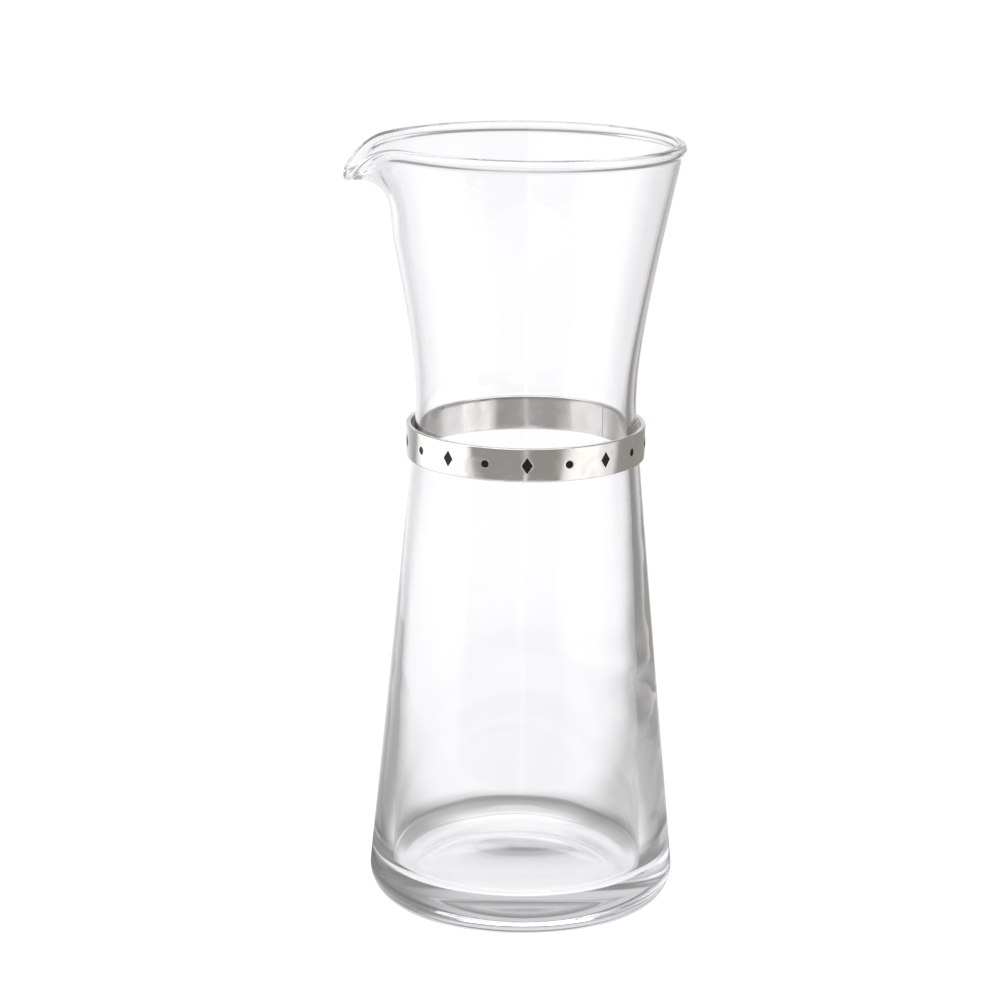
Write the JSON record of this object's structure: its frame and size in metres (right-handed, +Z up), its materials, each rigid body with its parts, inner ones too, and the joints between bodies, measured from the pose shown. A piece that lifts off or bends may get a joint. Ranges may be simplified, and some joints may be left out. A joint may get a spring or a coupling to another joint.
{
  "type": "wine carafe",
  "caption": "Clear glass wine carafe with a waisted body, thick rounded base and pulled pouring spout, and a loose polished metal band that rests on the cone under the waist.",
  "frame": {"origin": "centre of the flat underside, on the axis of the carafe", "axes": "+Z up along the axis, -X towards the pouring spout"},
  "size_m": [0.1088, 0.0998, 0.2503],
  "materials": {
    "clear_glass": "clear, fire-polished",
    "band_metal": "polished, faintly scratched",
    "black_enamel": "satin black"
  },
  "bodies": {
    "vessel": {"carafe_glass": "clear_glass"},
    "band": {"collar_band": "band_metal", "enamel_dot_01": "black_enamel", "enamel_lozenge_01": "black_enamel", "enamel_dot_02": "black_enamel", "enamel_lozenge_02": "black_enamel", "enamel_dot_03": "black_enamel", "enamel_lozenge_03": "black_enamel", "enamel_dot_04": "black_enamel", "enamel_lozenge_04": "black_enamel", "enamel_dot_05": "black_enamel", "enamel_lozenge_05": "black_enamel", "enamel_dot_06": "black_enamel", "enamel_lozenge_06": "black_enamel", "enamel_dot_07": "black_enamel", "enamel_lozenge_07": "black_enamel", "enamel_dot_08": "black_enamel", "enamel_lozenge_08": "black_enamel", "enamel_dot_09": "black_enamel", "enamel_lozenge_09": "black_enamel"}
  },
  "joints": [
    {"name": "band_lift", "type": "slide", "parent": "vessel", "child": "band", "axis": [0, 0, 1], "range_m": [0, 0.023]}
  ]
}
